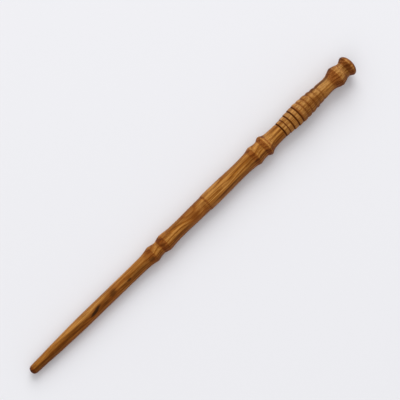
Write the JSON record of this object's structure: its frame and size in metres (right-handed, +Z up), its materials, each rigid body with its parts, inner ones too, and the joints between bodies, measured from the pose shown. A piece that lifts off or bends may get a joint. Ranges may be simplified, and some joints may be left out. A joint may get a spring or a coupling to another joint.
{
  "type": "magic wand",
  "caption": "Hand-turned hardwood wand with a slim tapered shaft, beads and nodes, burnt grip grooves and a domed pommel.",
  "frame": {"origin": "under the middle of the wand, on the surface that it lies on", "axes": "+X along the wand towards the pommel, +Z up; the wand's own axis rises towards the pommel by 0.9 degrees, because it lies on a smaller ring in front and a larger one behind"},
  "size_m": [0.3574, 0.0184, 0.0196],
  "materials": {
    "shaft_wood": "satin oil and wax",
    "handle_wood": "satin oil and wax, with burnt grooves"
  },
  "bodies": {
    "root": {"shaft": "shaft_wood", "handle": "handle_wood"}
  },
  "joints": []
}
